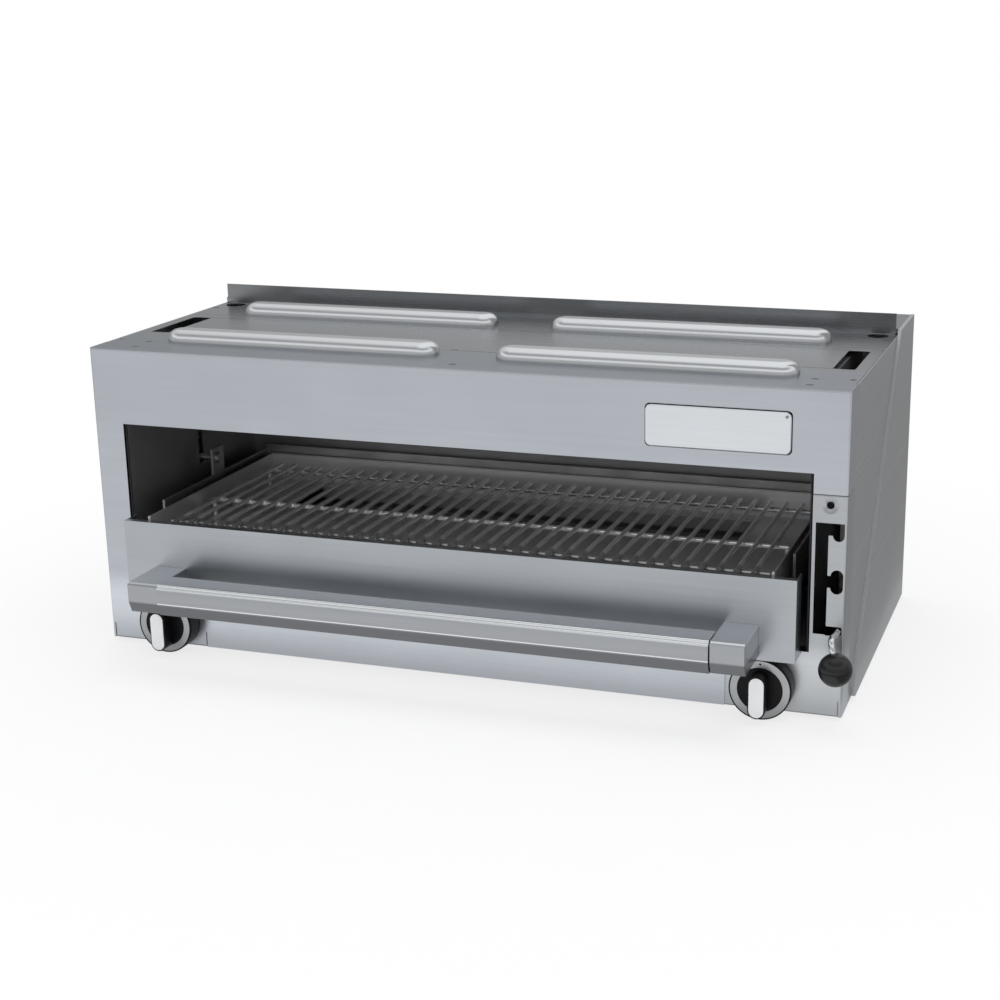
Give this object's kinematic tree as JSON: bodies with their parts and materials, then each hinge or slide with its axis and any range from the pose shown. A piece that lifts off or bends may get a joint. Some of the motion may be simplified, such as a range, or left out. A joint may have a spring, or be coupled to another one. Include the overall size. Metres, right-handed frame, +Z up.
{
  "type": "salamander grill",
  "caption": "Wide gas broiler cabinet with an open front, a pull-out wire rack raised by a three-notch lever, round knobs and a low rear riser.",
  "frame": {"origin": "centre of the body's footprint, on the underside of the bottom pan", "axes": "+X to the right seen from the front, -Y out of the open front, +Z up"},
  "size_m": [0.8792, 0.5238, 0.3739],
  "materials": {
    "brushed_steel": "fine brushed stainless steel",
    "dull_steel": "dull aluminised sheet steel",
    "plated_steel": "satin plated steel",
    "chrome": "polished chrome plate",
    "black_iron": "black iron pipe",
    "brass": "machined brass",
    "black_plastic": "black moulded plastic, half gloss",
    "satin_ring": "satin aluminium ring",
    "white_plastic": "white moulded plastic",
    "ceramic_tile": "porous burner ceramic"
  },
  "bodies": {
    "frame": {"back_panel": "dull_steel", "bottom_pan": "dull_steel", "burner_rails": "dull_steel", "burner_screens": "plated_steel", "burner_tiles": "ceramic_tile", "burners": "dull_steel", "chamber_floor": "dull_steel", "control_panel": "brushed_steel", "drip_pan": "dull_steel", "flue_collar": "brushed_steel", "front_fascia": "brushed_steel", "gas_inlet": "black_iron", "gas_manifold": "black_iron", "gas_valves": "brass", "guide_brackets": "dull_steel", "guide_rods": "plated_steel", "heat_shield": "dull_steel", "liner_back": "dull_steel", "liner_left": "dull_steel", "liner_right": "dull_steel", "nameplate": "brushed_steel", "orifices": "brass", "pan_rests": "brushed_steel", "panel_screws": "plated_steel", "pilot_burner": "plated_steel", "plate_rivet": "brushed_steel", "side_bracket": "brushed_steel", "side_panel_left": "brushed_steel", "side_panel_right": "brushed_steel", "supply_tubes": "plated_steel", "top_middle": "brushed_steel", "top_rear": "brushed_steel", "venturi_tubes": "dull_steel"},
    "carriage": {"slide_blocks": "plated_steel", "lift_studs": "plated_steel", "carriage_rail_left": "plated_steel", "carriage_rail_right": "plated_steel", "carriage_rear_bar": "plated_steel", "lever_carrier": "plated_steel", "lever_pin": "plated_steel"},
    "lever": {"lever_arm": "chrome", "lever_shank": "chrome", "lever_handle": "chrome", "lever_ball": "black_plastic"},
    "rack": {"rack_pan": "plated_steel", "rack_grid": "chrome", "grid_feet": "chrome", "rack_apron": "brushed_steel", "handle_brackets": "brushed_steel", "handle_bar": "brushed_steel", "handle_rod": "plated_steel"},
    "knob_left": {"knob_left": "black_plastic", "knob_ring_left": "satin_ring", "knob_insert_left": "white_plastic", "valve_stem_left": "brass"},
    "knob_right": {"knob_right": "black_plastic", "knob_ring_right": "satin_ring", "knob_insert_right": "white_plastic", "valve_stem_right": "brass"}
  },
  "joints": [
    {"name": "rack_lift", "type": "slide", "parent": "frame", "child": "carriage", "axis": [0, 0, 1], "range_m": [0, 0.1], "deforming": ["lever_shank"]},
    {"name": "rack_slide", "type": "slide", "parent": "carriage", "child": "rack", "axis": [0, -1, 0], "range_m": [0, 0.2]},
    {"name": "lever_swing", "type": "hinge", "parent": "carriage", "child": "lever", "pos_m": [0.4142, -0.081, 0.095], "axis": [0, 0, 1], "range_deg": [-7.5, 0], "stiffness_Nm_per_rad": 0.6},
    {"name": "knob_left_turn", "type": "hinge", "parent": "frame", "child": "knob_left", "pos_m": [-0.3493, -0.209, 0.0295], "axis": [0, -1, 0], "range_deg": [0, 90]},
    {"name": "knob_right_turn", "type": "hinge", "parent": "frame", "child": "knob_right", "pos_m": [0.3493, -0.209, 0.0295], "axis": [0, -1, 0], "range_deg": [0, 90]}
  ]
}
